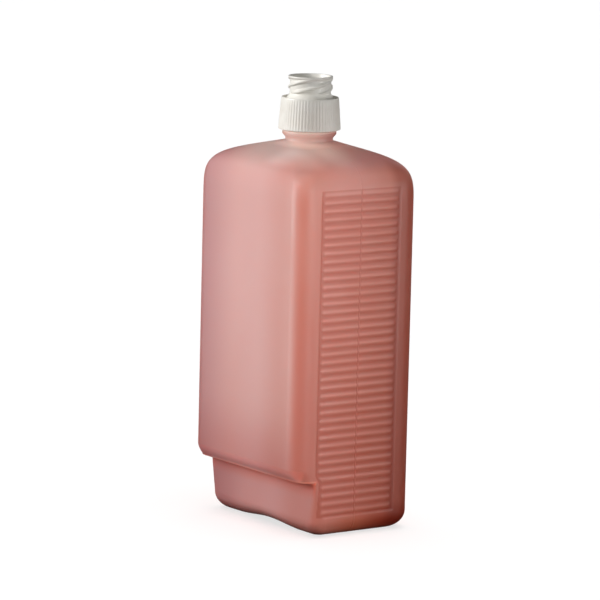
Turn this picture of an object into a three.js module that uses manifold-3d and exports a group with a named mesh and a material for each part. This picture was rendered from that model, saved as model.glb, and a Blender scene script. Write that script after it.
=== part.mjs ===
// Hand soap refill pack: a one-litre blow-moulded bottle filled with liquid soap, closed by a
// screw-on closure whose threaded spout docks into a dispenser.
// Millimetres, +Z up. The origin is the middle of the footprint, on the surface it stands on.
// +X is across the front of the bottle, and the front face looks towards -Y.

import * as THREE from 'three';
import { mergeVertices } from 'three/addons/utils/BufferGeometryUtils.js';
import Module from 'manifold-3d';

const wasm = await Module();
wasm.setup();

// ---------------------------------------------------------------- driving dimensions

const GAP = 0.3; // clearance between pieces that rest on each other
const EMBED = 0.25; // how deep ribs and threads reach into the wall they stand on
const BEYOND = 1; // how far a cut reaches past the surface it opens
const TURN = 2 * Math.PI;

const bottle = {
  width: 90,
  depth: 71,
  cornerRadius: 9,
  wall: 1.0,
  baseRadius: 8.5, // radius between the sides and the base
  pushUp: 2.4, // height of the raised middle of the base
  footWidth: 5, // width of the ring that the bottle stands on
  footSlope: 3, // width of the slope from that ring to the raised middle
  archRise: 1.8, // height of the arch under the front and back edges
  archHalfWidth: 27,
};

const shoulder = {
  start: 155.3, // where the walls begin to turn in
  rounding: 24.6, // height taken by the rounded edge
  slope: 8.5, // height taken by the slope up to the neck
  squareness: 5.3, // exponent of the rounded edge
};
shoulder.top = shoulder.start + shoulder.rounding + shoulder.slope;

// The recess across the foot of the front face.
const step = {
  height: 27.9,
  depth: 12,
  cornerRadius: 2.5, // of the recess, just under the ledge
  footCornerRadius: 6.5, // of the recess, at the base
  fillet: 4, // between the recess and the ledge over it
  lipInset: 2.8, // how far the lower edge of the front panel is drawn back
  lipHeight: 1.5,
  chamferHeight: 3.4,
};

// The grip panels on the two sides.
const grip = {
  ribs: 39,
  pitch: 4.09,
  firstRib: 12.5, // height of the lowest rib
  halfLength: 22.4,
  shortening: 1.9, // how much shorter the ribs beside the step are at the front
  recess: 0.5,
  border: 1.2, // plain margin at the ribs' ends
  belowFirst: 2.3, // from the lowest rib's middle to the panel's lower edge
  aboveLast: 2.05,
  crestWidth: 1.0,
  rootWidth: 3.0,
};

const neck = {
  rootRadius: 11.65,
  boreRadius: 9.4,
  beadRadius: 13.25,
  beadStart: 190.1,
  beadEdge: 191.6,
  beadTop: 193.5,
  finishRadius: 11.2,
  lip: 205.4,
};

// The thread between the bottle's neck and the closure.
const thread = {
  pitch: 4,
  crestWidth: 1.0,
  rootWidth: 2.0,
  neckCrestRadius: 12.3,
  neckStart: 197,
  neckTurns: 1.25,
  closureCrestRadius: 11.6,
  closureTurns: 1,
};

const closure = {
  bottom: 193.9,
  top: 209.7,
  bottomRadius: 15.3, // over the grip ribs
  topRadius: 14.1,
  boreRadius: 12.7,
  ribs: 60,
  ribHeight: 0.3,
  ribWidth: 1.0,
  ribCrestShare: 0.5, // width of a rib's crest over the width of its root
  ribMargin: 0.3, // from a rib's ends to the skirt's edges
  edge: 0.35, // bevel round the deck
  mouthBevel: 0.3,
  moat: { depth: 0.7, width: 1.1, wall: 0.5 }, // groove in the deck round the spout
  deckUnderside: 207.6,
};

const spout = {
  top: 220,
  radius: 10.05,
  rimRadius: 10.9,
  rimHeight: 1.0,
  rimTaper: 0.8, // height of the slope under the rim
  rimBevel: 0.3,
  flareRadius: 11.3,
  flareHeight: 1.6,
  boreRadius: 9.2,
  leadIn: { width: 0.5, height: 1.5 }, // slope at the mouth of the bore
  threadStarts: 4,
  threadLead: 18,
  threadCrestRadius: 10.8,
  threadCrestWidth: 0.9,
  threadRootWidth: 2.4,
  threadPhase: 54.5, // degrees: where a crest passes threadHeight
  threadHeight: 214.5,
};

const washer = { bottom: 206.3, thickness: 1.0, innerRadius: 9.4, outerRadius: 12.3 };
const foil = { thickness: 0.3, radius: 11.1 };
const fillLevel = 179;

// Facets: points round each horizontal section of the bottle, and round each turned piece.
const cornerSegments = 6;
const frontSegments = 8;
const sideSegments = 4;
const sectionPoints = 4 * cornerSegments + 2 * frontSegments + 2 * sideSegments;
const roundSegments = 40;
const filletSegments = 3;
const fadeSegments = 3; // over which a thread rises to its full height
const firstShare = 0.4; // of a segment: where a thread's rise and the shoulder's curve begin

// ---------------------------------------------------------------- solids and skins

// Turns a closed geometry into a solid that can be joined and cut.
function solid(geometry) {
  geometry.deleteAttribute('normal');
  geometry.deleteAttribute('uv');
  const merged = mergeVertices(geometry, 1e-4);
  return new wasm.Manifold(new wasm.Mesh({
    numProp: 3,
    vertProperties: new Float32Array(merged.attributes.position.array),
    triVerts: new Uint32Array(merged.index.array),
  }));
}

// Turns a solid back into a geometry.
function surface(body) {
  const mesh = body.getMesh();
  const geometry = new THREE.BufferGeometry();
  geometry.setAttribute('position', new THREE.BufferAttribute(mesh.vertProperties, 3));
  geometry.setIndex(new THREE.BufferAttribute(mesh.triVerts, 1));
  geometry.computeVertexNormals();
  return geometry;
}

// A closed skin over rings with equal numbers of points, with a flat face on the first and last
// ring. Each ring runs anticlockwise when seen from the next one.
function skin(rings) {
  const count = rings[0].length;
  const indices = [];
  for (let level = 0; level + 1 < rings.length; level += 1) {
    for (let i = 0; i < count; i += 1) {
      const a = level * count + i;
      const b = level * count + ((i + 1) % count);
      indices.push(a, b, b + count);
      indices.push(a, b + count, a + count);
    }
  }
  const last = (rings.length - 1) * count;
  for (let i = 1; i + 1 < count; i += 1) {
    indices.push(0, i + 1, i);
    indices.push(last, last + i, last + i + 1);
  }
  const geometry = new THREE.BufferGeometry().setFromPoints(rings.flat());
  geometry.setIndex(indices);
  return geometry;
}

// A turned piece: a closed profile of [radius, height] points, swept round the Z axis.
function turned(profile) {
  const points = profile.map(([radius, height]) => new THREE.Vector2(radius, height));
  const geometry = new THREE.LatheGeometry([...points, points[0]], roundSegments);
  return geometry.rotateX(Math.PI / 2);
}

// A ridge that winds round the Z axis, fading in and out at its ends. Its crest points outwards
// where crestRadius is larger than rootRadius, and inwards where it is smaller.
function helicalRidge({ rootRadius, crestRadius, rootWidth, crestWidth, lead, height, angle, turns }) {
  const steps = Math.round(turns * roundSegments);
  const outwards = crestRadius > rootRadius;
  const embedded = rootRadius + (outwards ? -EMBED : EMBED);
  const rings = [];
  for (let i = 0; i <= steps; i += 1) {
    const theta = angle + (TURN * i) / roundSegments;
    const z = height + (lead * i) / roundSegments;
    const rise = Math.min(1, (Math.min(i, steps - i) + firstShare) / fadeSegments);
    const crest = rootRadius + (crestRadius - rootRadius) * rise;
    const section = [
      [embedded, z - rootWidth / 2],
      [embedded, z + rootWidth / 2],
      [crest, z + crestWidth / 2],
      [crest, z - crestWidth / 2],
    ];
    const ring = section.map(([r, h]) => new THREE.Vector3(r * Math.cos(theta), r * Math.sin(theta), h));
    rings.push(outwards ? ring : ring.reverse());
  }
  return solid(skin(rings));
}

function box(low, high) {
  const size = high.map((value, axis) => value - low[axis]);
  const middle = high.map((value, axis) => (value + low[axis]) / 2);
  return new THREE.BoxGeometry(...size).translate(...middle);
}

// ---------------------------------------------------------------- sections of the bottle

// A rounded rectangle, anticlockwise from the middle of the +X side.
function roundedSection({ halfWidth, back, front, backRadius, frontRadius }) {
  const corners = [
    { x: 1, y: back, radius: backRadius, from: 0 },
    { x: -1, y: back, radius: backRadius, from: 1 },
    { x: -1, y: front, radius: frontRadius, from: 2 },
    { x: 1, y: front, radius: frontRadius, from: 3 },
  ];
  const arcs = corners.map(({ x, y, radius, from }) => {
    const centre = new THREE.Vector2(x * (halfWidth - radius), y - Math.sign(y) * radius);
    return Array.from({ length: cornerSegments + 1 }, (_, i) => {
      const angle = (TURN / 4) * (from + i / cornerSegments);
      return new THREE.Vector2(Math.cos(angle), Math.sin(angle)).multiplyScalar(radius).add(centre);
    });
  });
  const points = [];
  arcs.forEach((arc, index) => {
    points.push(...arc);
    const next = arcs[(index + 1) % 4][0];
    const segments = index % 2 === 0 ? frontSegments : sideSegments;
    for (let i = 1; i < segments; i += 1) {
      points.push(arc[cornerSegments].clone().lerp(next, i / segments));
    }
  });
  const fromMiddle = points.splice(points.length - sideSegments / 2);
  return [...fromMiddle, ...points];
}

// The bottle's outline drawn in by `inset`. `frontInset` draws in the front alone.
function bodySection(inset, frontInset = 0, frontRadius = bottle.cornerRadius) {
  return roundedSection({
    halfWidth: bottle.width / 2 - inset,
    back: bottle.depth / 2 - inset,
    front: frontInset + inset - bottle.depth / 2,
    backRadius: Math.max(bottle.cornerRadius - inset / 2, 1),
    frontRadius: Math.max(frontRadius - inset / 2, 1),
  });
}

function roundSection(radius) {
  return Array.from({ length: sectionPoints }, (_, i) => {
    const angle = (TURN * i) / sectionPoints;
    return new THREE.Vector2(radius * Math.cos(angle), radius * Math.sin(angle));
  });
}

function atHeight(section, height) {
  return section.map((point) => new THREE.Vector3(point.x, point.y, height));
}

// The outline with its front drawn back: the further back, the tighter its front corners.
function drawnBackSection(inset, distance) {
  const share = distance / step.depth;
  const radius = THREE.MathUtils.lerp(bottle.cornerRadius, step.cornerRadius, share);
  return bodySection(inset, distance, radius);
}

function footSection(inset) {
  return bodySection(inset, step.depth, step.footCornerRadius);
}

// Height of the arch under the front and back edges at a place across the width.
function archHeight(x) {
  const along = Math.min(Math.abs(x) / bottle.archHalfWidth, 1);
  return bottle.archRise * (0.5 + 0.5 * Math.cos(Math.PI * along));
}

// One ring of the base, `drawnIn` from the outline. The arch fades out up the rounded edge.
function baseRing(drawnIn, height) {
  const ring = atHeight(footSection(drawnIn), height);
  const share = Math.max(1 - height / bottle.baseRadius, 0);
  ring.forEach((point) => { point.z += archHeight(point.x) * share; });
  return ring;
}

// The base and its rounded edge, drawn in by `inset`.
function baseRings(inset) {
  const radius = bottle.baseRadius - inset;
  const footEdge = bottle.baseRadius + bottle.footWidth + inset;
  const rings = [
    atHeight(footSection(footEdge + bottle.footSlope), bottle.pushUp + inset),
    baseRing(footEdge, inset),
  ];
  for (let degrees = 0; degrees <= 90; degrees += 18) {
    const angle = THREE.MathUtils.degToRad(degrees);
    const drawnIn = inset + radius * (1 - Math.sin(angle));
    rings.push(baseRing(drawnIn, inset + radius * (1 - Math.cos(angle))));
  }
  return rings;
}

// The top of the recess, the ledge over it and the lower edge of the front panel.
function stepRings(inset) {
  const radius = step.fillet + inset;
  const rings = [];
  for (let i = 0; i <= filletSegments; i += 1) {
    const angle = ((TURN / 4) * i) / filletSegments;
    const distance = step.depth - radius * (1 - Math.cos(angle));
    const height = step.height - step.fillet + radius * Math.sin(angle);
    rings.push(atHeight(drawnBackSection(inset, distance), height));
  }
  const lip = drawnBackSection(inset, step.lipInset);
  const lipTop = step.height + step.lipHeight;
  rings.push(atHeight(lip, step.height + inset));
  rings.push(atHeight(lip, lipTop));
  rings.push(atHeight(bodySection(inset), lipTop + step.chamferHeight));
  return rings;
}

// The rounded shoulder, from the walls up to a round neck of the given radius.
function shoulderRings(inset, neckRadius, steps) {
  const outline = bodySection(inset);
  const round = roundSection(neckRadius);
  const rings = [];
  for (let i = 0; i <= steps; i += 1) {
    const angle = ((TURN / 4) * (i + firstShare)) / (steps + firstShare);
    const spread = Math.cos(angle) ** (2 / shoulder.squareness);
    const rise = Math.sin(angle) ** (2 / shoulder.squareness);
    const height = shoulder.start + shoulder.rounding * rise + shoulder.slope * (1 - spread) - inset;
    const section = round.map((point, k) => point.clone().lerp(outline[k], i === steps ? 0 : spread));
    rings.push(atHeight(section, height));
  }
  return rings;
}

// ---------------------------------------------------------------- the pieces

// Where the ribs end towards the front at a given height: they are shorter beside the step.
function ribFront(height) {
  return height < step.height ? grip.shortening - grip.halfLength : -grip.halfLength;
}

// One of the two side panels, as a block that reaches outwards from `floor`. `side` is 1 or -1.
function panelBlock(side, floor, margin) {
  const outside = bottle.width / 2 + BEYOND;
  const lastRib = grip.firstRib + grip.pitch * (grip.ribs - 1);
  const low = grip.firstRib - grip.belowFirst - margin;
  const high = lastRib + grip.aboveLast + margin;
  const block = (bottom, top, border) => solid(box(
    [side > 0 ? floor : -outside, ribFront(bottom) - border - margin, bottom],
    [side > 0 ? outside : -floor, grip.halfLength + grip.border + margin, top],
  ));
  const beside = block(low, step.height + grip.pitch, grip.border / 2);
  return beside.add(block(step.height + grip.pitch / 2, high, grip.border));
}

function gripRib(side, height) {
  const floor = bottle.width / 2 - grip.recess;
  const bar = (x, halfWidth, setBack) => {
    const ends = [ribFront(height) + setBack, grip.halfLength - setBack];
    const [first, second] = side > 0 ? ends : ends.reverse();
    return [
      new THREE.Vector3(side * x, first, height - halfWidth),
      new THREE.Vector3(side * x, second, height - halfWidth),
      new THREE.Vector3(side * x, second, height + halfWidth),
      new THREE.Vector3(side * x, first, height + halfWidth),
    ];
  };
  return solid(skin([
    bar(floor - EMBED, grip.rootWidth / 2, 0),
    bar(floor + grip.recess, grip.crestWidth / 2, grip.recess),
  ]));
}

// The space inside the bottle, kept `inset` from its outer skin, up to the given rings.
function insideOf(inset, topRings) {
  const space = solid(skin([...baseRings(inset), ...stepRings(inset), ...topRings]));
  const backing = bottle.width / 2 - grip.recess - inset;
  return [1, -1].reduce((rest, side) => rest.subtract(panelBlock(side, backing, inset)), space);
}

function makeBottle() {
  const outer = solid(skin([
    ...baseRings(0),
    ...stepRings(0),
    ...shoulderRings(0, neck.rootRadius, 11),
    atHeight(roundSection(neck.rootRadius), neck.beadStart),
    atHeight(roundSection(neck.beadRadius), neck.beadEdge),
    atHeight(roundSection(neck.beadRadius), neck.beadTop),
    atHeight(roundSection(neck.finishRadius), neck.beadTop),
    atHeight(roundSection(neck.finishRadius), neck.lip),
  ]));
  const inner = insideOf(bottle.wall, [
    ...shoulderRings(bottle.wall, neck.boreRadius, 8),
    atHeight(roundSection(neck.boreRadius), neck.lip + BEYOND),
  ]);
  let shell = outer.subtract(inner).add(helicalRidge({
    rootRadius: neck.finishRadius,
    crestRadius: thread.neckCrestRadius,
    rootWidth: thread.rootWidth,
    crestWidth: thread.crestWidth,
    lead: thread.pitch,
    height: thread.neckStart,
    angle: 0,
    turns: thread.neckTurns,
  }));
  for (const side of [1, -1]) {
    shell = shell.subtract(panelBlock(side, bottle.width / 2 - grip.recess, 0));
    for (let rib = 0; rib < grip.ribs; rib += 1) {
      shell = shell.add(gripRib(side, grip.firstRib + rib * grip.pitch));
    }
  }
  return surface(shell);
}

// The liquid, with its level surface below the neck.
function makeSoap() {
  const inset = bottle.wall + GAP;
  const rings = shoulderRings(inset, neck.boreRadius, 8);
  const filled = insideOf(inset, rings);
  const reach = bottle.width;
  const above = solid(box([-reach, -reach, fillLevel], [reach, reach, neck.lip]));
  return surface(filled.subtract(above));
}

// A plain membrane welded across the bottle's mouth.
function makeFoilSeal() {
  const height = neck.lip + GAP + foil.thickness / 2;
  const disc = new THREE.CylinderGeometry(foil.radius, foil.radius, foil.thickness, roundSegments);
  return disc.rotateX(Math.PI / 2).translate(0, 0, height);
}

function makeWasher() {
  const top = washer.bottom + washer.thickness;
  return turned([
    [washer.innerRadius, washer.bottom],
    [washer.outerRadius, washer.bottom],
    [washer.outerRadius, top],
    [washer.innerRadius, top],
  ]);
}

// The turned form of the closure: skirt, deck and open spout in one moulding.
function closureBody() {
  const { moat, mouthBevel } = closure;
  const skirtBottom = closure.bottomRadius - closure.ribHeight;
  const skirtTop = closure.topRadius - closure.ribHeight;
  const moatFloor = closure.top - moat.depth;
  const rimUnderside = spout.top - spout.rimHeight;
  return solid(turned([
    [closure.boreRadius + mouthBevel, closure.bottom],
    [skirtBottom, closure.bottom],
    [skirtTop, closure.top - closure.edge],
    [skirtTop - closure.edge, closure.top],
    [spout.flareRadius + moat.wall + moat.width, moatFloor],
    [spout.flareRadius + moat.wall, moatFloor],
    [spout.flareRadius, closure.top],
    [spout.radius, closure.top + spout.flareHeight],
    [spout.radius, rimUnderside - spout.rimTaper],
    [spout.rimRadius, rimUnderside],
    [spout.rimRadius, spout.top - spout.rimBevel],
    [spout.rimRadius - spout.rimBevel, spout.top],
    [spout.boreRadius + spout.leadIn.width, spout.top],
    [spout.boreRadius, spout.top - spout.leadIn.height],
    [spout.boreRadius, closure.deckUnderside],
    [closure.boreRadius, closure.deckUnderside],
    [closure.boreRadius, closure.bottom + mouthBevel],
  ]));
}

function closureRib(index) {
  const angle = (TURN * (index + 0.5)) / closure.ribs;
  const crest = closure.ribCrestShare;
  const root = -closure.ribHeight - EMBED;
  const slab = (radius, height) => {
    const corners = [[root, -1], [0, -crest], [0, crest], [root, 1]];
    return corners.map(([depth, across]) => {
      const point = new THREE.Vector3(radius + depth, (across * closure.ribWidth) / 2, height);
      return point.applyAxisAngle(new THREE.Vector3(0, 0, 1), angle);
    });
  };
  const low = closure.bottom + closure.ribMargin;
  const high = closure.top - closure.edge - closure.ribMargin;
  return solid(skin([slab(closure.bottomRadius, low), slab(closure.topRadius, high)]));
}

// One start of the coarse thread on the spout, between the flare at its foot and the rim.
function spoutThread(index) {
  const start = closure.top + spout.flareHeight;
  const end = spout.top - spout.rimHeight - spout.rimTaper;
  const phase = THREE.MathUtils.degToRad(spout.threadPhase);
  const angle = phase + (TURN * index) / spout.threadStarts
    - (TURN * (spout.threadHeight - start)) / spout.threadLead;
  return helicalRidge({
    rootRadius: spout.radius,
    crestRadius: spout.threadCrestRadius,
    rootWidth: spout.threadRootWidth,
    crestWidth: spout.threadCrestWidth,
    lead: spout.threadLead,
    height: start,
    angle,
    turns: (end - start) / spout.threadLead,
  });
}

function makeClosure() {
  let body = closureBody();
  for (let rib = 0; rib < closure.ribs; rib += 1) {
    body = body.add(closureRib(rib));
  }
  for (let start = 0; start < spout.threadStarts; start += 1) {
    body = body.add(spoutThread(start));
  }
  const insideThread = helicalRidge({
    rootRadius: closure.boreRadius,
    crestRadius: thread.closureCrestRadius,
    rootWidth: thread.rootWidth,
    crestWidth: thread.crestWidth,
    lead: thread.pitch,
    height: thread.neckStart,
    angle: TURN / 2,
    turns: thread.closureTurns,
  });
  return surface(body.add(insideThread));
}

// ---------------------------------------------------------------- assembly

const finishes = {
  pinkPlastic: { color: 0xd08a80, roughness: 0.42, metalness: 0 },
  soap: { color: 0xe0786a, roughness: 0.15, metalness: 0 },
  whitePlastic: { color: 0xeeece6, roughness: 0.4, metalness: 0 },
  foam: { color: 0xf4f3ee, roughness: 0.9, metalness: 0 },
  foil: { color: 0xc9cbcd, roughness: 0.3, metalness: 0.9 },
};

function piece(name, geometry, finish) {
  const mesh = new THREE.Mesh(geometry, new THREE.MeshStandardMaterial(finishes[finish]));
  mesh.name = name;
  return mesh;
}

const refillPack = new THREE.Group();
refillPack.add(
  piece('bottle', makeBottle(), 'pinkPlastic'),
  piece('soap', makeSoap(), 'soap'),
  piece('foil_seal', makeFoilSeal(), 'foil'),
  piece('sealing_washer', makeWasher(), 'foam'),
  piece('closure', makeClosure(), 'whitePlastic'),
);

export default refillPack;
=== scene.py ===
"""Looks of the hand soap refill pack: a pink bottle of soap with a white screw closure.

Millimetres in the shape functions, and metres in the meshes, the materials and the studio. The
frame's Z axis runs up the neck, and the front face looks towards -Y.
"""
import math

import bpy
import numpy as np
from mathutils import Matrix, Vector


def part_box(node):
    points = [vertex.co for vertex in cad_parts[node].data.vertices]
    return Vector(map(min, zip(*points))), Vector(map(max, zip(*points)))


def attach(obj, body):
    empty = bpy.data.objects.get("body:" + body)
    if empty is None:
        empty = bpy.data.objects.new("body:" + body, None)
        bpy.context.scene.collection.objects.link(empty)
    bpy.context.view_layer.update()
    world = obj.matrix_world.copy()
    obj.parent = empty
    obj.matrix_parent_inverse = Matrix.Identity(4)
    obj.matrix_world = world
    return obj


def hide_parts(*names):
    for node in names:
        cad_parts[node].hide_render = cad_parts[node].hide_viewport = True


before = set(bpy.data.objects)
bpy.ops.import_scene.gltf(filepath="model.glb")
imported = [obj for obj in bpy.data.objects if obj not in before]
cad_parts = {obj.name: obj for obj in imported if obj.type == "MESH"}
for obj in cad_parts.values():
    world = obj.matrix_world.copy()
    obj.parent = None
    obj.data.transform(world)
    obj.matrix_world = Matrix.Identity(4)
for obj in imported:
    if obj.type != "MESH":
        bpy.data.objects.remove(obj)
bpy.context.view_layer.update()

MM = 0.001
TURN = 2 * math.pi


def node_box(name):
    """Lowest and highest corner of a CAD node, in millimetres."""
    low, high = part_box(name)
    return np.array(low) / MM, np.array(high) / MM


BOTTLE_HIGH = node_box("bottle")[1]
CLOSURE_LOW, CLOSURE_HIGH = node_box("closure")
WASHER_LOW, WASHER_HIGH = node_box("sealing_washer")
FOIL_LOW, FOIL_HIGH = node_box("foil_seal")

# ---------------------------------------------------------------- bottle dimensions

HALF_WIDTH = BOTTLE_HIGH[0]
HALF_DEPTH = BOTTLE_HIGH[1]
LIP_TOP = BOTTLE_HIGH[2]
CORNER_RADIUS = 9.0
WALL = 1.0

BASE_RADIUS = 8.5  # between the sides and the base
PUSH_UP = 2.4  # height of the base's raised middle
ARCH_RISE = 1.8  # height of the arches under the front and back edges
ARCH_HALF_WIDTH = 27.0

SHOULDER_START = 155.3
SHOULDER_ROUNDING = 24.6  # height of the rounded edge
SHOULDER_SLOPE = 8.5  # height of the slope up to the neck
SHOULDER_TOP = SHOULDER_START + SHOULDER_ROUNDING + SHOULDER_SLOPE
SQUARENESS = 5.3  # exponent of the rounded edge

STEP_HEIGHT = 27.9  # of the ledge over the recess across the foot of the front
STEP_DEPTH = 12.0
STEP_CORNER = 2.5  # radius of the recess's corners under the ledge
FOOT_CORNER = 6.5  # radius of the same corners at the base
STEP_FILLET = 4.0
LIP_INSET = 3.6  # how far the front is drawn back at the ledge
LIP_EDGE = 0.6
LIP_ROUNDING = 5.6  # height over which the front swells out again
LIP_EXPONENT = 1.5  # of that swelling's curve

RIBS = 39
RIB_PITCH = 4.09
FIRST_RIB = 12.5  # height of the lowest rib
RIB_HALF_LENGTH = 22.4
RIB_SHORTENING = 1.9  # of the front ends beside the recess
RIB_EASE = 3.4  # height over the ledge in which the ribs grow to their full length
RIB_HEIGHT = 0.22
RIB_CREST = 0.15  # half the width of a rib's crest
RIB_FOOT = 1.6  # half the width of a rib's foot
PANEL_BORDER = 1.2  # plain margin at the ribs' ends
PANEL_TOP = FIRST_RIB + (RIBS - 1) * RIB_PITCH + 1.8
PANEL_BOTTOM = FIRST_RIB - 2.3
PARTING_GAP = 0.45  # how far the ribs stop from the parting line
PARTING_RIDGE = 0.16
PARTING_HALF_WIDTH = 0.42

NECK_ROOT = 11.65
NECK_BORE = 9.4
FINISH_RADIUS = 11.2  # under the neck's thread
BEAD_RADIUS = 13.25
BEAD_START = 190.1
BEAD_EDGE = 191.6
BEAD_TOP = 193.6

THREAD_PITCH = 4.0
THREAD_START = 197.0
NECK_THREAD_RADIUS = 12.3
NECK_THREAD_TURNS = 1.25

# ---------------------------------------------------------------- closure dimensions

SKIRT_BOTTOM = CLOSURE_LOW[2]
SPOUT_TOP = CLOSURE_HIGH[2]
DECK_TOP = 209.7
DECK_UNDERSIDE = 207.6
MOAT = 0.7  # depth of the groove in the deck, round the spout
SKIRT_BOTTOM_RADIUS = 15.3
SKIRT_TOP_RADIUS = 14.1
SKIRT_EDGE = 0.35
SKIRT_BORE = 12.7
GRIP_RIBS = 60
GRIP_RIB_HEIGHT = 0.14
GRIP_RIB_CREST = 0.3  # width of a rib's crest over the distance between ribs
GRIP_RIB_FOOT = 0.78  # width of its foot over the same distance
POINTS_PER_RIB = 8
CLOSURE_THREAD_RADIUS = 11.6
CLOSURE_THREAD_TURNS = 1.0
THREAD_HALF_WIDTH = 1.0

SPOUT_RADIUS = 10.05
RIM_RADIUS = 10.9
RIM_FOOT = SPOUT_TOP - 1.8
RIM_EDGE = SPOUT_TOP - 0.7
SPOUT_FLARE = 11.3  # radius of the spout's foot on the deck
SPOUT_BORE = 9.2
SPOUT_STARTS = 4
SPOUT_LEAD = 18.0
SPOUT_THREAD_START = DECK_TOP + 1.6
SPOUT_THREAD_HEIGHT = 0.85
SPOUT_UPPER_FLANK = 1.3
SPOUT_LOWER_FLANK = 1.05
SPOUT_PHASE = math.radians(54.5)  # a crest passes this angle at the height below
SPOUT_PHASE_HEIGHT = 214.5


# ---------------------------------------------------------------- small helpers


def smoothstep(low, high, value):
    """0 below low, 1 above high, and a smooth curve between. low may be the larger."""
    share = np.clip((np.asarray(value, float) - low) / (high - low), 0, 1)
    return share * share * (3 - 2 * share)


def arc(centre, radius, start, end, steps):
    """Points on an arc in a profile, from one angle to another in degrees."""
    angles = np.radians(np.linspace(start, end, steps + 1))
    return [(centre[0] + radius * math.cos(a), centre[1] + radius * math.sin(a)) for a in angles]


def mesh_object(name, vertices, faces):
    """A smooth-shaded object from points in millimetres."""
    mesh = bpy.data.meshes.new(name)
    mesh.from_pydata((np.asarray(vertices) * MM).tolist(), [], faces)
    mesh.validate()
    mesh.shade_smooth()
    piece = bpy.data.objects.new(name, mesh)
    bpy.context.collection.objects.link(piece)
    return piece


def ring_faces(rows, columns, closed):
    """Quads between neighbouring rings. A closed grid also joins the last ring to the first."""
    faces = []
    for row in range(rows if closed else rows - 1):
        here = row * columns
        above = ((row + 1) % rows) * columns
        for i in range(columns):
            j = (i + 1) % columns
            faces.append((here + i, here + j, above + j, above + i))
    return faces


def capped_object(name, rings):
    """A closed piece over a stack of rings, with a fan to a middle point at both ends."""
    rings = np.asarray(rings)
    rows, columns = rings.shape[:2]
    faces = ring_faces(rows, columns, closed=False)
    first, last = rows * columns, rows * columns + 1
    top = (rows - 1) * columns
    for i in range(columns):
        j = (i + 1) % columns
        faces.append((first, j, i))
        faces.append((last, top + i, top + j))
    middles = [rings[0].mean(axis=0), rings[-1].mean(axis=0)]
    return mesh_object(name, np.vstack([rings.reshape(-1, 3), middles]), faces)


def turned_rings(profile, columns, shape=None):
    """Rings of a turned piece. shape(radius, height, angles) may change each ring's radius."""
    angles = np.linspace(0, TURN, columns, endpoint=False)
    rings = []
    for radius, height in profile:
        radii = np.full(columns, float(radius))
        if shape:
            radii = shape(radii, height, angles)
        rings.append(np.stack([radii * np.cos(angles), radii * np.sin(angles),
                               np.full(columns, float(height))], axis=1))
    return np.array(rings)


def turned_object(name, profile, columns, shape=None):
    """A closed turned piece whose profile runs round its own section."""
    rings = turned_rings(profile, columns, shape)
    return mesh_object(name, rings.reshape(-1, 3), ring_faces(len(rings), columns, closed=True))


def spread(start, end, spacing):
    """Values from start to end, evenly spaced, without the end itself."""
    count = max(int(round(abs(end - start) / spacing)), 1)
    return list(np.linspace(start, end, count, endpoint=False))


def thread_rise(height, angles, turns):
    """How far the closing thread stands out, 0 to 1, round one ring. It ends after its turns."""
    along = (height - THREAD_START) / THREAD_PITCH
    best = np.zeros_like(angles)
    for turn in range(int(turns) + 2):
        wound = angles / TURN + turn
        distance = np.abs(along - wound) * THREAD_PITCH
        fade = smoothstep(-0.02, 0.06, wound) * smoothstep(turns + 0.02, turns - 0.06, wound)
        ridge = smoothstep(THREAD_HALF_WIDTH, THREAD_HALF_WIDTH * 0.4, distance)
        best = np.maximum(best, fade * ridge)
    return best


def spout_thread_rise(height, angles):
    """The same for the spout's starts: a rounded upper flank and a straight lower one."""
    offset = ((height - SPOUT_PHASE_HEIGHT) / SPOUT_LEAD - (angles - SPOUT_PHASE) / TURN) * SPOUT_STARTS
    above = (offset - np.round(offset)) * SPOUT_LEAD / SPOUT_STARTS
    upper = smoothstep(SPOUT_UPPER_FLANK, 0.2, above)
    lower = np.clip((above + SPOUT_LOWER_FLANK) / (SPOUT_LOWER_FLANK - 0.4), 0, 1)
    return np.minimum(upper, lower)


# ---------------------------------------------------------------- bottle

ARC_STEPS = 12
FRONT_STEPS = 12
SHOULDER_STEPS = 44
RINGS_PER_RIB = 9
SIDE_ANGLE = 15  # half the part of the round neck that a side leads to, in degrees
BACK_ANGLE = 60  # where the back's part of the neck starts


def rib_reach(height):
    """How far the grip ribs reach from the parting line, towards the front and the back."""
    beside_step = smoothstep(STEP_HEIGHT + RIB_EASE, STEP_HEIGHT - 1, height)
    return RIB_HALF_LENGTH - RIB_SHORTENING * beside_step, RIB_HALF_LENGTH


def half_side(reach, flat):
    """Places along half a side, from the parting line to the corner: close where ribs end."""
    near = [0, 0.2, 0.4, 0.7, 1.1]
    end = [reach + offset for offset in (-1.5, -1.1, -0.8, -0.5, -0.25, 0, 0.3)]
    border = np.linspace(end[-1], max(reach + PANEL_BORDER + 0.6, end[-1] + 0.1), 5)[1:]
    span = np.linspace(near[-1], end[0], 5)[1:-1]
    places = np.concatenate([near, span, end, border])
    places = np.minimum(places, np.linspace(flat - 0.6, flat - 0.05, len(places)))
    return np.append(places, flat)


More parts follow.
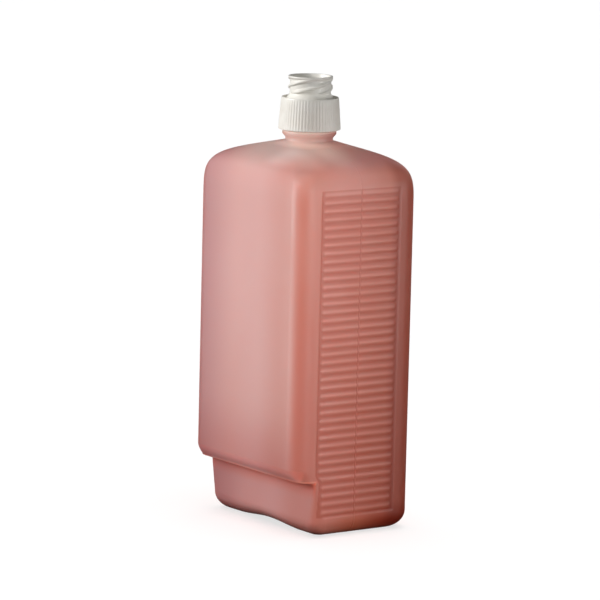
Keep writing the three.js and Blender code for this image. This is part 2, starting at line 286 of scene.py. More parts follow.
def section(inset, front_inset, front_radius, height):
    """A horizontal section of the walls, anticlockwise from the middle of the +X side.

    Gives the points and, for each, the angle at which it meets the round neck.
    """
    half_width = HALF_WIDTH - inset
    back = HALF_DEPTH - inset
    front = HALF_DEPTH - inset - front_inset
    back_radius = max(CORNER_RADIUS - inset / 2, 1.0)
    front_radius = max(front_radius - inset / 2, 1.0)
    to_front, to_back = rib_reach(height)
    side_back = half_side(to_back, back - back_radius)
    side_front = half_side(to_front, front - front_radius)
    side = np.concatenate([-side_front[:0:-1], side_back])
    side_angle = np.where(side < 0, side / side_front[-1], side / side_back[-1]) * SIDE_ANGLE
    corner = np.linspace(0, 90, ARC_STEPS + 1)
    corner_angle = np.linspace(SIDE_ANGLE, BACK_ANGLE, ARC_STEPS + 1)
    across = np.linspace(1, -1, FRONT_STEPS + 1)[1:-1]
    across_angle = np.linspace(BACK_ANGLE, 180 - BACK_ANGLE, FRONT_STEPS + 1)[1:-1]
    mirrored = 180 - SIDE_ANGLE - BACK_ANGLE

    def corner_points(sign_x, y, radius, start):
        """A quarter circle into the corner at this y, from the start angle on."""
        angles = np.radians(corner + start)
        centre = (sign_x * (half_width - radius), y - math.copysign(radius, y))
        return centre[0] + radius * np.cos(angles), centre[1] + radius * np.sin(angles)

    middle = len(side_front) - 1
    parts = []
    parts.append((np.full(len(side) - middle - 1, half_width), side[middle:-1], side_angle[middle:-1]))
    parts.append((*corner_points(1, back, back_radius, 0), corner_angle))
    parts.append((across * (half_width - back_radius), np.full(len(across), back), across_angle))
    parts.append((*corner_points(-1, back, back_radius, 90), corner_angle + mirrored))
    parts.append((np.full(len(side) - 2, -half_width), side[-2:0:-1], 180 - side_angle[-2:0:-1]))
    parts.append((*corner_points(-1, -front, front_radius, 180), corner_angle + 180))
    parts.append((-across * (half_width - front_radius), np.full(len(across), -front), across_angle + 180))
    parts.append((*corner_points(1, -front, front_radius, 270), corner_angle + 180 + mirrored))
    parts.append((np.full(middle - 1, half_width), side[1:middle], side_angle[1:middle] + 360))
    points = np.concatenate([np.stack(part[:2], axis=1) for part in parts])
    angles = np.radians(np.concatenate([part[2] for part in parts]))
    return points, angles


def at_height(points, height):
    """Points of a section, lifted to a height."""
    return np.column_stack([points, np.full(len(points), height)])


def recessed_ring(inset, height):
    """A ring below the ledge, whose front corners open out towards the base."""
    share = np.clip((height - BASE_RADIUS) / (STEP_HEIGHT - STEP_FILLET - BASE_RADIUS), 0, 1)
    radius = FOOT_CORNER + (STEP_CORNER - FOOT_CORNER) * share
    return at_height(section(inset, STEP_DEPTH, radius, height)[0], height)


def base_ring(inset, height):
    """A ring of the base, lifted by the arches under the front and back edges."""
    ring = recessed_ring(inset, height)
    along = np.minimum(np.abs(ring[:, 0]) / ARCH_HALF_WIDTH, 1)
    share = max(1 - height / BASE_RADIUS, 0)
    ring[:, 2] += ARCH_RISE * (0.5 + 0.5 * np.cos(math.pi * along)) * share
    return ring


def base_rings(inset, step_degrees):
    """The base from its raised middle, over the flat foot and round the edge to the wall."""
    rings = [recessed_ring(BASE_RADIUS + out + inset, PUSH_UP + inset) for out in (14, 8.2)]
    radius = BASE_RADIUS - inset
    for out, height in ((7.4, PUSH_UP - 0.3), (6.4, 0.9), (5.6, 0.15), (4.8, 0), (2.5, 0)):
        rings.append(base_ring(BASE_RADIUS + out + inset, height + inset))
    for degrees in range(0, 91, step_degrees):
        angle = math.radians(degrees)
        drawn_in = inset + radius * (1 - math.sin(angle))
        rings.append(base_ring(drawn_in, inset + radius * (1 - math.cos(angle))))
    return rings


def panel_depth(ring):
    """How deep each point lies in a grip panel: 0 outside and on a rib's crest, 1 on the floor.

    The floor meets the border in a slope 0.35 to 0.8 mm wide.
    """
    height = ring[:, 2]
    to_front, to_back = rib_reach(height[0])
    reach = np.where(ring[:, 1] < 0, to_front, to_back)
    across = np.abs(ring[:, 1])
    edge = reach + PANEL_BORDER
    inside = smoothstep(edge, edge - 0.35, across)
    inside = inside * smoothstep(PANEL_TOP + 0.1, PANEL_TOP - 0.25, height)
    inside = inside * smoothstep(PANEL_BOTTOM - 0.6, PANEL_BOTTOM + 0.2, height)
    offset = (height - FIRST_RIB) / RIB_PITCH
    nearest = np.clip(np.round(offset), 0, RIBS - 1)
    beyond = np.maximum(across - (reach - RIB_FOOT), 0)
    distance = np.hypot((offset - nearest) * RIB_PITCH, beyond)
    rib = smoothstep(RIB_FOOT, RIB_CREST, distance) * smoothstep(0.1, PARTING_GAP + 0.2, across)
    on_side = (across < edge) & (np.abs(ring[:, 0]) > HALF_WIDTH / 2)
    return np.where(on_side, inside * (1 - rib), 0)


def cut_panels(ring):
    """Presses the grip panels into both sides and leaves the ribs standing."""
    limit = HALF_WIDTH - RIB_HEIGHT * panel_depth(ring)
    ring[:, 0] = np.clip(ring[:, 0], -limit, limit)
    return ring


def step_profile():
    """The front of the bottle from the recess to the flat panel: (front inset, height)."""
    fillet, edge = STEP_FILLET, LIP_EDGE
    profile = arc((STEP_DEPTH - fillet, STEP_HEIGHT - fillet), fillet, 0, 90, 9)
    profile += [(inset, STEP_HEIGHT) for inset in spread(STEP_DEPTH - fillet - 1.4, LIP_INSET + edge, 1.4)]
    profile += arc((LIP_INSET + edge, STEP_HEIGHT + edge), -edge, 90, 0, 5)
    for share in np.linspace(0, 1, 20)[1:]:
        inset = LIP_INSET * (1 - share) ** LIP_EXPONENT
        profile.append((inset, STEP_HEIGHT + edge + LIP_ROUNDING * share))
    return profile


def step_ring(inset, front_inset, height):
    """A ring over the recess, whose front corners get rounder as the front comes forward."""
    share = front_inset / STEP_DEPTH
    radius = CORNER_RADIUS + (STEP_CORNER - CORNER_RADIUS) * share
    return at_height(section(inset, front_inset, radius, height)[0], height)


def shoulder_angles(rise_step, steps):
    """Angles along the shoulder's curve: even in height beside the panels, then even in angle."""
    heights = spread(0, PANEL_TOP + 1 - SHOULDER_START, rise_step)
    lower = [math.asin((height / SHOULDER_ROUNDING) ** (SQUARENESS / 2)) for height in heights]
    return lower + list(np.linspace(lower[-1], TURN / 4, steps + 1)[1:])


def shoulder_rings(inset, neck_radius, rise_step, steps):
    """Rings from the walls up the rounded edge and the slope, which turn into the round neck."""
    rings = []
    for angle in shoulder_angles(rise_step, steps):
        outwards = max(math.cos(angle), 0) ** (2 / SQUARENESS) if angle < TURN / 4 else 0
        rise = math.sin(angle) ** (2 / SQUARENESS)
        height = SHOULDER_START + SHOULDER_ROUNDING * rise + SHOULDER_SLOPE * (1 - outwards)
        outline, angles = section(inset, 0, CORNER_RADIUS, height)
        circle = neck_radius * np.stack([np.cos(angles), np.sin(angles)], axis=1)
        rings.append(at_height(circle + (outline - circle) * outwards, height - inset))
    return rings


def parting_ridge(ring):
    """Raises the fine line that the mould's halves leave down the middle of both sides."""
    near = smoothstep(PARTING_HALF_WIDTH, 0.0, np.abs(ring[:, 1]))
    ring[:, 0] += np.sign(ring[:, 0]) * PARTING_RIDGE * near * (np.abs(ring[:, 0]) > NECK_ROOT)
    return ring


def neck_rings():
    """The neck's outside, its lip and its bore, down to the underside of the shoulder."""
    angles = section(0, 0, CORNER_RADIUS, SHOULDER_START)[1]
    lip_edge = 0.4
    profile = [(NECK_ROOT, z) for z in spread(SHOULDER_TOP + 0.4, BEAD_START, 0.4)]
    profile += [(NECK_ROOT + 0.15, BEAD_START), (BEAD_RADIUS - 0.25, BEAD_EDGE - 0.15)]
    profile += [(BEAD_RADIUS, BEAD_EDGE + 0.2), (BEAD_RADIUS, BEAD_TOP - 0.3)]
    profile += [(BEAD_RADIUS - 0.3, BEAD_TOP), (FINISH_RADIUS + 0.4, BEAD_TOP)]
    profile += [(FINISH_RADIUS, z) for z in spread(BEAD_TOP + 0.4, LIP_TOP - 0.6, 0.3)]
    profile += arc((FINISH_RADIUS - lip_edge, LIP_TOP - lip_edge), lip_edge, 0, 90, 4)
    profile += arc((NECK_BORE + lip_edge, LIP_TOP - lip_edge), lip_edge, 90, 180, 4)
    profile += [(NECK_BORE, z) for z in spread(LIP_TOP - 1, SHOULDER_TOP, 3)]
    rings = []
    for radius, height in profile:
        radii = np.full(len(angles), float(radius))
        if radius == FINISH_RADIUS:
            rise = thread_rise(height, angles % TURN, NECK_THREAD_TURNS)
            radii = radii + (NECK_THREAD_RADIUS - FINISH_RADIUS) * rise
        circle = np.stack([radii * np.cos(angles), radii * np.sin(angles)], axis=1)
        rings.append(at_height(circle, height))
    return rings


def inner_panel(ring):
    """Keeps the wall's thickness behind the grip panels."""
    to_front, to_back = rib_reach(ring[0, 2])
    reach = np.where(ring[:, 1] < 0, to_front, to_back) + PANEL_BORDER
    behind = np.abs(ring[:, 1]) < reach
    if PANEL_BOTTOM < ring[0, 2] < PANEL_TOP:
        limit = HALF_WIDTH - RIB_HEIGHT - WALL
        ring[behind, 0] = np.clip(ring[behind, 0], -limit, limit)
    return ring


def bottle_rings():
    """The whole skin, from the middle of the base, up outside, over the lip and down inside."""
    outside = base_rings(0, 6)
    rib_step = RIB_PITCH / RINGS_PER_RIB
    outside += [recessed_ring(0, z) for z in spread(BASE_RADIUS + 0.3, STEP_HEIGHT - STEP_FILLET, rib_step)]
    profile = step_profile()
    outside += [step_ring(0, inset, z) for inset, z in profile]
    wall = spread(profile[-1][1] + rib_step, SHOULDER_START, rib_step)
    outside += [step_ring(0, 0, z) for z in wall]
    outside += shoulder_rings(0, NECK_ROOT, rib_step, SHOULDER_STEPS)
    depths = [panel_depth(ring) for ring in outside]
    outside = [parting_ridge(cut_panels(ring)) for ring in outside]
    inside = shoulder_rings(WALL, NECK_BORE, 3.0, 12)[::-1]
    inside += [step_ring(WALL, 0, z) for z in (150, 100, 40)]
    inside += [step_ring(WALL, i, z + WALL) for i, z in profile[::-3]]
    inside += [recessed_ring(WALL, z) for z in (STEP_HEIGHT - 5, PANEL_BOTTOM + 3)]
    inside += base_rings(WALL, 15)[::-1]
    return outside + neck_rings() + [inner_panel(ring) for ring in inside], np.concatenate(depths)


def make_bottle():
    """The bottle's shell. Its material reads how deep each point lies in a grip panel, for the painted
    shade between the ribs.
    """
    rings, depths = bottle_rings()
    piece = capped_object("bottle_shell", rings)
    values = np.zeros(len(piece.data.vertices), dtype=np.float32)
    values[:len(depths)] = depths
    piece.data.attributes.new("panel_depth", "FLOAT", "POINT").data.foreach_set("value", values)
    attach(piece, "bottle")
    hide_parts("bottle")
    return piece


# ---------------------------------------------------------------- closure


def skirt_profile():
    """The outside of the skirt in the valleys between its ribs, up to its rounded top edge."""
    slope = (SKIRT_BOTTOM_RADIUS - SKIRT_TOP_RADIUS) / (DECK_TOP - SKIRT_BOTTOM)
    valley = SKIRT_BOTTOM_RADIUS - GRIP_RIB_HEIGHT
    profile = [(SKIRT_BORE + 0.5, SKIRT_BOTTOM), (valley - 0.3, SKIRT_BOTTOM)]
    profile += [(valley - 0.08, SKIRT_BOTTOM + 0.1), (valley, SKIRT_BOTTOM + 0.3)]
    heights = [SKIRT_BOTTOM + 0.5, *spread(SKIRT_BOTTOM + 0.8, DECK_TOP - 1.4, 1.5)]
    heights += [DECK_TOP - SKIRT_EDGE - below for below in (0.6, 0.3, 0)]
    profile += [(valley - slope * (z - SKIRT_BOTTOM), z) for z in heights]
    top = valley - slope * (DECK_TOP - SKIRT_BOTTOM) - SKIRT_EDGE
    profile += arc((top, DECK_TOP - SKIRT_EDGE), SKIRT_EDGE, 15, 90, 5)
    profile += [(top - 0.25, DECK_TOP - 0.1), (top - 0.5, DECK_TOP - MOAT)]
    return profile


def spout_profile():
    """From the groove in the deck up the outside of the spout, and over its flared rim."""
    profile = [(SPOUT_FLARE + 0.5, DECK_TOP - MOAT), (SPOUT_FLARE + 0.1, DECK_TOP - MOAT + 0.15)]
    profile += [(SPOUT_FLARE - 0.25, DECK_TOP + 0.2), (SPOUT_FLARE - 0.7, DECK_TOP + 0.8)]
    profile += [(SPOUT_RADIUS + 0.2, DECK_TOP + 1.4)]
    profile += [(SPOUT_RADIUS, z) for z in spread(DECK_TOP + 1.8, RIM_FOOT, 0.2)]
    for z in spread(RIM_FOOT, RIM_EDGE, 0.14):
        profile.append((SPOUT_RADIUS + (RIM_RADIUS - SPOUT_RADIUS) * smoothstep(RIM_FOOT, RIM_EDGE, z), z))
    profile += [(RIM_RADIUS, RIM_EDGE), (RIM_RADIUS, SPOUT_TOP - 0.45)]
    profile += arc((RIM_RADIUS - 0.25, SPOUT_TOP - 0.25), 0.25, 0, 90, 3)
    profile += arc((SPOUT_BORE + 0.75, SPOUT_TOP - 0.25), 0.25, 90, 170, 3)
    return profile


def closure_inside_profile():
    """Down the spout's bore, under the deck, and down the inside of the skirt."""
    profile = [(SPOUT_BORE + 0.1, SPOUT_TOP - 1.6), (SPOUT_BORE, SPOUT_TOP - 2.2)]
    profile += [(SPOUT_BORE, z) for z in (SPOUT_TOP - 4, SPOUT_TOP - 8, DECK_UNDERSIDE + 0.3)]
    profile += [(SPOUT_BORE + 0.3, DECK_UNDERSIDE), (SKIRT_BORE - 0.4, DECK_UNDERSIDE)]
    profile += [(SKIRT_BORE, DECK_UNDERSIDE - 0.4), (SKIRT_BORE, DECK_UNDERSIDE - 2)]
    thread_top = THREAD_START + THREAD_PITCH * (CLOSURE_THREAD_TURNS + 0.5) + 1.6
    profile += [(SKIRT_BORE, z) for z in spread(thread_top, THREAD_START - 1.6, 0.33)]
    profile += [(SKIRT_BORE, SKIRT_BOTTOM + 0.6)]
    return profile


def closure_shape(radii, height, angles):
    """Adds the grip ribs, the spout's thread and the thread inside the skirt to one ring."""
    radius = radii[0]
    if radius > SKIRT_BORE + 0.6 and height < DECK_TOP - 0.3:
        place = np.abs((angles * GRIP_RIBS / TURN) % 1 - 0.5) * 2
        fade = smoothstep(SKIRT_BOTTOM, SKIRT_BOTTOM + 0.5, height)
        fade = fade * smoothstep(DECK_TOP - 0.4, DECK_TOP - 1.2, height)
        return radii + GRIP_RIB_HEIGHT * smoothstep(GRIP_RIB_FOOT, GRIP_RIB_CREST, place) * fade
    if radius >= SPOUT_RADIUS and height > SPOUT_THREAD_START:
        fade = smoothstep(SPOUT_THREAD_START, SPOUT_THREAD_START + 1, height)
        fade = fade * smoothstep(SPOUT_TOP, SPOUT_TOP - 0.8, height)
        rise = spout_thread_rise(height, angles) * fade
        return np.maximum(radii, SPOUT_RADIUS + SPOUT_THREAD_HEIGHT * rise)
    if radius == SKIRT_BORE:
        rise = thread_rise(height, (angles - math.pi) % TURN, CLOSURE_THREAD_TURNS)
        return radii - (SKIRT_BORE - CLOSURE_THREAD_RADIUS) * rise
    return radii


def make_closure():
    """The closure's shell."""
    profile = skirt_profile() + spout_profile() + closure_inside_profile()
    piece = turned_object("closure_shell", profile, GRIP_RIBS * POINTS_PER_RIB, closure_shape)
    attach(piece, "closure")
    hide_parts("closure")
    return piece


# ---------------------------------------------------------------- seal


def make_washer():
    """The foam ring under the closure's deck, with soft edges."""
    inner, outer = NECK_BORE, WASHER_HIGH[0]
    low, high = WASHER_LOW[2], WASHER_HIGH[2]
    soft = 0.25
    profile = arc((outer - soft, low + soft), soft, -90, 0, 4)
    profile += arc((outer - soft, high - soft), soft, 0, 90, 4)
    profile += arc((inner + soft, high - soft), soft, 90, 180, 4)
    profile += arc((inner + soft, low + soft), soft, 180, 270, 4)
    piece = turned_object("washer_ring", profile, 128)
    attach(piece, "washer")
    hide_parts("sealing_washer")
    return piece


def make_foil():
    """The membrane across the mouth: flat where it is welded to the lip, slack in the middle."""
    radius = FOIL_HIGH[0]
    low, high = FOIL_LOW[2], FOIL_HIGH[2]
    places = [0.6, 2, 4, 6, 7.5, 8.5, 9.2, 9.6, 10.4, radius - 0.05]
    slack = [-0.5 * smoothstep(9.6, 2, place) for place in places]
    under = [(place, low + drop) for place, drop in zip(places, slack)]
    over = [(place, high + drop) for place, drop in zip(places, slack)]
    rings = turned_rings(under + [(radius, (low + high) / 2)] + over[::-1], 96)
    piece = capped_object("foil_membrane", rings)
    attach(piece, "bottle")
    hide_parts("foil_seal")
    return piece


# ---------------------------------------------------------------- materials


def srgb(red, green, blue):
    """A linear colour with alpha from 8-bit screen values."""
    def linear(value):
        share = value / 255
        return share / 12.92 if share <= 0.04045 else ((share + 0.055) / 1.055) ** 2.4
    return linear(red), linear(green), linear(blue), 1.0


class Nodes:
    """A material's node tree, with short calls for the nodes used here. Places are in metres."""

    def __init__(self, name):
        self.material = bpy.data.materials.new(name)
        self.material.use_nodes = True
        self.tree = self.material.node_tree
        self.shader = self.tree.nodes["Principled BSDF"]
        self.place = self.add("ShaderNodeTexCoord").outputs["Object"]

    def add(self, kind, **settings):
        node = self.tree.nodes.new(kind)
        for key, value in settings.items():
            setattr(node, key, value)
        return node

    def link(self, source, target):
        self.tree.links.new(source, target)

    def noise(self, scale, detail=3.0, stretch=(1, 1, 1), roughness=0.5):
        mapping = self.add("ShaderNodeMapping")
        mapping.inputs["Scale"].default_value = stretch
        self.link(self.place, mapping.inputs["Vector"])
        texture = self.add("ShaderNodeTexNoise")
        texture.inputs["Scale"].default_value = scale
        texture.inputs["Detail"].default_value = detail
        texture.inputs["Roughness"].default_value = roughness
        self.link(mapping.outputs["Vector"], texture.inputs["Vector"])
        return texture.outputs["Fac"]

    def span(self, value, low, high, start=0.0, end=1.0, smooth=True):
        """Start where the value is low, end where it is high, and between them in between."""
        node = self.add("ShaderNodeMapRange")
        node.interpolation_type = "SMOOTHSTEP" if smooth else "LINEAR"
        for key, number in (("From Min", low), ("From Max", high), ("To Min", start), ("To Max", end)):
            node.inputs[key].default_value = number
        self.link(value, node.inputs["Value"])
        return node.outputs["Result"]

    def maths(self, operation, first, second=0.0):
        node = self.add("ShaderNodeMath", operation=operation)
        for socket, value in zip(node.inputs, (first, second)):
            if isinstance(value, (int, float)):
                socket.default_value = value
            else:
                self.link(value, socket)
        return node.outputs["Value"]

    def mix(self, share, first, second, blend="MIX"):
        node = self.add("ShaderNodeMix", data_type="RGBA", blend_type=blend)
        if isinstance(share, (int, float)):
            node.inputs[0].default_value = share
        else:
            self.link(share, node.inputs[0])
        for socket, value in zip(node.inputs[6:8], (first, second)):
            if isinstance(value, tuple):
                socket.default_value = value
            else:
                self.link(value, socket)
        return node.outputs[2]

    def tint(self, colour, factors, *shares):
        """The colour multiplied by the factors where every share is 1."""
        share = shares[0]
        for other in shares[1:]:
            share = self.maths("MULTIPLY", share, other)
        return self.mix(share, colour, (*factors, 1.0), "MULTIPLY")

    def axes(self, vector):
        """The three parts of a vector."""
        node = self.add("ShaderNodeSeparateXYZ")
        self.link(vector, node.inputs[0])
        return node.outputs

    def bump(self, height, strength, distance):
        node = self.add("ShaderNodeBump")
        node.inputs["Strength"].default_value = strength
        node.inputs["Distance"].default_value = distance
        self.link(height, node.inputs["Height"])
        self.link(node.outputs["Normal"], self.shader.inputs["Normal"])

    def finish(self, colour, roughness, **uniform):
        """Links the two textures, sets the uniform values, and gives the material."""
        self.link(colour, self.shader.inputs["Base Color"])
        self.link(roughness, self.shader.inputs["Roughness"])
        for key, value in uniform.items():
            self.shader.inputs[key.replace("_", " ")].default_value = value
        return self.material


def front_colour(nodes, cloud, x, y, z):
    """The broad front and back: pale pink, partly the plastic's milky haze and partly a painted sheen, and
    on the front painted shade deeper towards both sides and the foot.
    """
    span, tint = nodes.span, nodes.tint
    # Pale pink: the plastic's haze, with a painted sheen of the light over it.
    colour = nodes.mix(span(cloud, 0.35, 0.7), srgb(211, 158, 152), srgb(215, 166, 162))
    before_middle = span(y, 0.0, -0.02)
    # Painted shade: the front darker towards its left edge.
    colour = tint(colour, (0.72, 0.64, 0.69), span(x, -0.005, -0.042), before_middle)
    # Painted shade: the front deeper towards its right corner.
    colour = tint(colour, (0.92, 0.79, 0.73), span(x, 0.008, 0.030), before_middle)
    # Painted shade: deeper towards the foot.
    return tint(colour, (0.88, 0.72, 0.72), span(z, 0.068, 0.030))


def side_colour(nodes, cloud, y, z):
    """The sides: redder, with painted shade deeper towards the back and the foot, and a painted sheen paler
    over the panels.
    """
    span, tint = nodes.span, nodes.tint
    colour = nodes.mix(span(cloud, 0.35, 0.7), srgb(214, 133, 116), srgb(217, 141, 128))
    # Painted shade: the sides deeper towards the back.
    colour = tint(colour, (0.68, 0.60, 0.57), span(y, -0.020, 0.036))
    # Painted shade: darker still at the back corners.
    colour = tint(colour, (0.74, 0.62, 0.60), span(y, 0.0165, 0.0235))
    # Painted sheen: paler towards the top of the sides.
    colour = tint(colour, (0.98, 1.18, 1.27), span(z, 0.163, 0.175))
    # Painted shade: deeper near the front corners, between the ledge and the shoulder.
    below_shoulder = span(z, 0.15, 0.10)
    over_ledge = span(z, 0.028, 0.031)
    colour = tint(colour, (0.95, 0.83, 0.79), span(y, -0.022, -0.028), below_shoulder, over_ledge)
    # Painted shade: deeper at the foot of the sides, towards the back.
    return tint(colour, (0.70, 0.45, 0.42), span(z, 0.016, 0.004), span(y, 0.0, 0.02))


def foot_colour(nodes, colour, y, z, upwards):
    """Painted shade deeper towards the foot, with a red line of painted shade under the ledge, a painted
    highlight on its lip, and painted light on the swelling above the ledge where it faces down.
    """
    span, tint = nodes.span, nodes.tint
    ledge = STEP_HEIGHT * MM
    # Painted shade: deeper towards the foot.
    colour = tint(colour, (0.84, 0.72, 0.68), span(z, 0.13, 0.0))
    # Painted shade: brown-red at the very foot, towards the back.
    colour = tint(colour, (0.86, 0.66, 0.50), span(z, 0.018, 0.003), span(y, -0.02, 0.0))
    in_recess = span(y, -0.0222, -0.0235)
    below_ledge = span(z, ledge + 0.0006, ledge - 0.0009)
    # Under the ledge the recess's front is paler, and a red line of painted shade runs along its top.
    colour = tint(colour, (1.10, 1.24, 1.28), below_ledge, in_recess)
    colour = tint(colour, (1.22, 0.78, 0.66), span(z, 0.018, ledge - 0.0014), below_ledge, in_recess)
    # Painted highlight along the lip of the ledge.
    colour = tint(colour, (1.40, 1.40, 1.30), span(z, ledge - 0.0017, ledge - 0.0007),
                  span(z, ledge + 0.0011, ledge + 0.0003), in_recess)
    colour = tint(colour, (1.25, 1.35, 1.35), span(z, 0.009, 0.002), in_recess)
    # Painted light for the light thrown up from the floor: the swelling above the ledge paler where it
    # faces down.
    downwards = span(upwards, 0.0, -0.5, smooth=False)
    return tint(colour, (1.60, 1.65, 1.70), downwards, span(z, ledge - 0.0001, ledge + 0.0011),
                span(y, -0.029, -0.031))


def shoulder_colour(nodes, colour, x, y, z, sideways):
    """Pale over the empty top of the bottle, above the soap, with painted light where the shoulder faces
    right and on the neck's ring under the closure, a painted sheen at the front right, and painted shade
    deeper at the back.
    """
    span, tint, maths = nodes.span, nodes.tint, nodes.maths
    out_from_neck = maths("SQRT", maths("ADD", maths("MULTIPLY", x, x), maths("MULTIPLY", y, y)))
    # Pale pink where the top holds no soap, with painted light where the shoulder faces right.
    air_and_painted_light = nodes.mix(span(sideways, 0.0, 0.3), srgb(212, 180, 172), srgb(228, 190, 176))
    neck, bead = span(z, 0.1875, 0.1895), span(z, 0.1924, 0.1934)
    air_and_painted_light = nodes.mix(neck, air_and_painted_light, srgb(206, 172, 162))
    # Painted light on the ring of the neck under the closure, where the skirt shades it.
    air_and_painted_light = nodes.mix(bead, air_and_painted_light, srgb(243, 224, 212))
    headspace = maths("MULTIPLY", span(z, 0.170, 0.183), span(out_from_neck, 0.044, 0.020))
    colour = nodes.mix(maths("MULTIPLY", headspace, 0.9), colour, air_and_painted_light)
    # Painted shade: the back of the shoulder deeper.
    colour = tint(colour, (0.66, 0.48, 0.48), span(z, 0.175, 0.184), span(y, -0.010, 0.010))
    # Painted sheen: paler at the front right of the shoulder.
    return tint(colour, (1.22, 1.34, 1.36), span(z, 0.178, 0.182), span(x, 0.002, 0.016),
                span(y, -0.013, -0.023))


def pink_plastic():
    """Polyethylene with pink soap behind it, whose colour changes with the place on the bottle; much of
    that change is painted sheen, light and shade.
    """
    nodes = Nodes("pink_plastic")
    x, y, z = nodes.axes(nodes.place)
    normal = nodes.axes(nodes.add("ShaderNodeNewGeometry").outputs["Normal"])
    cloud = nodes.noise(16, 2.0, (1, 1, 0.45))
    # The front and back paler than the sides: partly the plastic's haze, partly a painted sheen.
    to_side = nodes.span(nodes.maths("ABSOLUTE", normal[0]), 0.1, 0.8)
    colour = nodes.mix(to_side, front_colour(nodes, cloud, x, y, z), side_colour(nodes, cloud, y, z))
    colour = foot_colour(nodes, colour, y, z, normal[2])
    colour = shoulder_colour(nodes, colour, x, y, z, normal[0])
    depth = nodes.add("ShaderNodeAttribute", attribute_name="panel_depth").outputs["Fac"]
    # Painted shade: the grip panels deeper on their floor between the ribs.
    colour = nodes.tint(colour, (0.84, 0.66, 0.60), nodes.span(depth, 0.0, 1.0, smooth=False))
    grain = nodes.noise(900, 2.0)
    ripple = nodes.noise(60, 3.0, (1, 1, 0.35))
    nodes.bump(nodes.maths("ADD", nodes.maths("MULTIPLY", ripple, 0.9),
                           nodes.maths("MULTIPLY", grain, 0.1)), 0.12, 0.0006)
    roughness = nodes.span(nodes.noise(45, 4.0), 0.3, 0.7, 0.36, 0.46)
    return nodes.finish(colour, roughness, Subsurface_Weight=0.3, Subsurface_Scale=0.001,
                        Subsurface_Radius=(0.9, 0.25, 0.2), IOR=1.5)


def white_plastic():
    """Glossy white polypropylene."""
    nodes = Nodes("white_plastic")
    cloud = nodes.noise(120, 3.0)
    colour = nodes.mix(nodes.span(cloud, 0.3, 0.7), srgb(240, 238, 231), srgb(233, 229, 220))
    roughness = nodes.span(nodes.noise(300, 3.0), 0.3, 0.7, 0.3, 0.42)
    nodes.bump(nodes.noise(700, 2.0), 0.08, 0.0003)
    return nodes.finish(colour, roughness, IOR=1.5)


def soap_liquid():
    """The liquid, with faint clouding."""
    nodes = Nodes("soap_liquid")
    cloud = nodes.noise(30, 3.0)
    colour = nodes.mix(cloud, srgb(226, 110, 96), srgb(214, 96, 84))
    roughness = nodes.span(nodes.noise(20, 2.0), 0.3, 0.7, 0.05, 0.12)
    return nodes.finish(colour, roughness, IOR=1.36)


def foam():
    """Closed-cell foam, with small cells."""
    nodes = Nodes("foam")
    cells = nodes.noise(1600, 4.0)
    colour = nodes.mix(cells, srgb(226, 224, 218), srgb(246, 245, 241))
    roughness = nodes.span(cells, 0.2, 0.8, 0.8, 0.95)
    nodes.bump(cells, 0.5, 0.0002)
    return nodes.finish(colour, roughness)


def foil():
    """Aluminium membrane with a faintly brushed, wrinkled surface."""
    nodes = Nodes("foil")
    streaks = nodes.noise(400, 3.0, (1, 0.1, 1))
    colour = nodes.mix(streaks, srgb(196, 198, 200), srgb(222, 223, 225))
    roughness = nodes.span(streaks, 0.3, 0.7, 0.28, 0.42)
    nodes.bump(nodes.noise(250, 3.0), 0.35, 0.0004)
    return nodes.finish(colour, roughness, Metallic=1.0)


def paint(piece, material):
    """Gives a piece one material."""
    piece.data.materials.clear()
    piece.data.materials.append(material)


# ---------------------------------------------------------------- studio

AZIMUTH = 54.46
ELEVATION = 9.056
ROLL = 1.404
DISTANCE = 2.0981
LENS_IN_FRAMES = 7.118333  # focal length over the width of the frame
AIM_SIDEWAYS = -0.00254
AIM_HEIGHT = 0.10917
SENSOR = 36


def make_camera():
    """A long lens, a little above the pack and looking at its front right corner."""
    azimuth, elevation, roll = map(math.radians, (AZIMUTH, ELEVATION, ROLL))
    back = Vector((math.sin(azimuth) * math.cos(elevation),
                   -math.cos(azimuth) * math.cos(elevation), math.sin(elevation)))
    right = Vector((math.cos(azimuth), math.sin(azimuth), 0))
    up = back.cross(right)
    turned_right = right * math.cos(roll) + up * math.sin(roll)
    turned_up = up * math.cos(roll) - right * math.sin(roll)
    place = right * AIM_SIDEWAYS + Vector((0, 0, AIM_HEIGHT)) + back * DISTANCE
    data = bpy.data.cameras.new("camera")
    data.sensor_width = SENSOR
    data.lens = LENS_IN_FRAMES * SENSOR
    data.clip_end = 50
    camera = bpy.data.objects.new("camera", data)
    rotation = Matrix((turned_right, turned_up, back)).transposed().to_4x4()
    camera.matrix_world = Matrix.Translation(place) @ rotation
    bpy.context.collection.objects.link(camera)
    bpy.context.scene.camera = camera


def receivers(name, pieces):
    """A collection of the only pieces that a light shines on."""
    lit = bpy.data.collections.new(name)
    for piece in pieces:
        lit.objects.link(piece)
    return lit


def make_light(name, azimuth, distance, height, size, radiance, only, aim=0.11, glossy=True):
    """A softbox that looks at a height on the pack's axis. Azimuth 0 is in front of the bottle and
    90 is on its right. The distance is measured along the floor."""
    turn = math.radians(azimuth)
    place = Vector((math.sin(turn) * distance, -math.cos(turn) * distance, height))
    data = bpy.data.lights.new(name, "AREA")
    data.shape = "RECTANGLE"
    data.size, data.size_y = size
    data.energy = radiance * math.pi * size[0] * size[1]
    light = bpy.data.objects.new(name, data)
    turned = (Vector((0, 0, aim)) - place).to_track_quat("-Z", "Y").to_matrix().to_4x4()
    light.matrix_world = Matrix.Translation(place) @ turned
    light.visible_camera = False
    light.visible_glossy = glossy
    light.light_linking.receiver_collection = only
    bpy.context.collection.objects.link(light)


FLOOR_GAP = 0.0002
SUN_SPREAD = 70


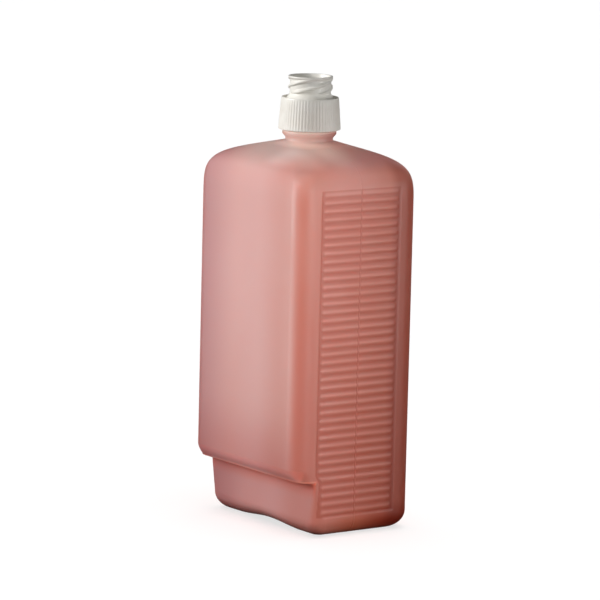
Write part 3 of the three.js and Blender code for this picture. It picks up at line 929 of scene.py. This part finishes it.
def make_floor():
    """A white floor that throws no light back at the pack. Two overhead suns light only the floor,
    and the pack casts a soft shadow in the weaker one."""
    size = 12.0
    mesh = bpy.data.meshes.new("floor")
    corners = [(-size, -size, 0), (size, -size, 0), (size, size, 0), (-size, size, 0)]
    mesh.from_pydata(corners, [], [(0, 1, 2, 3)])
    floor = bpy.data.objects.new("floor", mesh)
    floor.location.z = -FLOOR_GAP
    floor.visible_diffuse = False
    floor.visible_glossy = False
    bpy.context.collection.objects.link(floor)
    nodes = Nodes("floor")
    colour = nodes.mix(nodes.noise(3, 2.0), srgb(248, 248, 248), srgb(244, 244, 244))
    roughness = nodes.span(nodes.noise(5, 2.0), 0.3, 0.7, 0.85, 0.95)
    paint(floor, nodes.finish(colour, roughness))
    floor_only = receivers("floor_only", [floor])
    for name, energy, blockers in (("overhead", 2.9, floor_only), ("overhead_with_shadow", 0.7, None)):
        sun = bpy.data.objects.new(name, bpy.data.lights.new(name, "SUN"))
        sun.data.energy = energy
        sun.data.angle = math.radians(SUN_SPREAD)
        sun.light_linking.receiver_collection = floor_only
        sun.light_linking.blocker_collection = blockers
        bpy.context.collection.objects.link(sun)


def make_studio(bottle, closure_pieces):
    """White surroundings for the camera only, and softboxes. The closure's are its own, and dim on
    its right, so that its ribs and threads show."""
    world = bpy.data.worlds.new("studio")
    world.use_nodes = True
    world.node_tree.nodes["Background"].inputs["Color"].default_value = (1, 1, 1, 1)
    for rays in ("diffuse", "glossy", "transmission", "scatter"):
        setattr(world.cycles_visibility, rays, False)
    bpy.context.scene.world = world
    bpy.context.scene.view_settings.view_transform = "Standard"
    make_floor()
    body = receivers("bottle_only", [bottle])
    make_light("key", -25, 0.7, 0.28, (0.4, 0.55), 4.4, only=body)
    make_light("key_above", 0, 0.6, 0.6, (0.4, 0.4), 1.7, only=body)
    make_light("key_low", -35, 0.7, 0.12, (0.3, 0.2), 3.2, only=body)
    make_light("right_front", 70, 0.5, 0.14, (0.3, 0.28), 1.0, only=body)
    make_light("right", 90, 0.6, 0.14, (0.3, 0.28), 3.5, only=body)
    make_light("right_behind", 115, 0.7, 0.14, (0.3, 0.28), 3.6, only=body)
    make_light("fill", 54, 1.5, 0.6, (1.5, 1.2), 1.4, only=body, glossy=False)
    make_light("top", 50, 0.25, 0.9, (0.5, 0.5), 2.3, only=body, glossy=False)
    make_light("left_above", -68, 0.8, 0.5, (0.35, 0.35), 0.8, only=body)
    make_light("from_table", -20, 0.4, 0.02, (0.5, 0.08), 2.5, aim=0.04, only=body)
    make_light("back_fill", 205, 0.9, 0.3, (0.7, 0.6), 8.0, only=body, glossy=False)
    cap = receivers("closure_only", closure_pieces)
    make_light("cap_key", -30, 0.7, 0.45, (0.3, 0.2), 31.0, aim=0.2, only=cap)
    make_light("cap_above", -25, 0.6, 0.6, (0.4, 0.4), 1.2, aim=0.2, only=cap)
    make_light("cap_front", 54, 0.7, 0.5, (0.3, 0.3), 2.5, aim=0.2, only=cap)
    make_light("cap_right", 85, 0.8, 0.25, (0.5, 0.5), 1.5, aim=0.2, only=cap)
    make_light("cap_behind", 115, 0.7, 0.14, (0.3, 0.28), 5.0, aim=0.2, only=cap)
    make_light("cap_back", 205, 0.9, 0.3, (0.7, 0.6), 3.0, aim=0.2, only=cap, glossy=False)


# ---------------------------------------------------------------- assembly

make_camera()
bottle = make_bottle()
closure = make_closure()
washer = make_washer()
membrane = make_foil()
make_studio(bottle, [closure, washer, membrane])
paint(bottle, pink_plastic())
paint(closure, white_plastic())
paint(washer, foam())
paint(membrane, foil())
paint(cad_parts["soap"], soap_liquid())
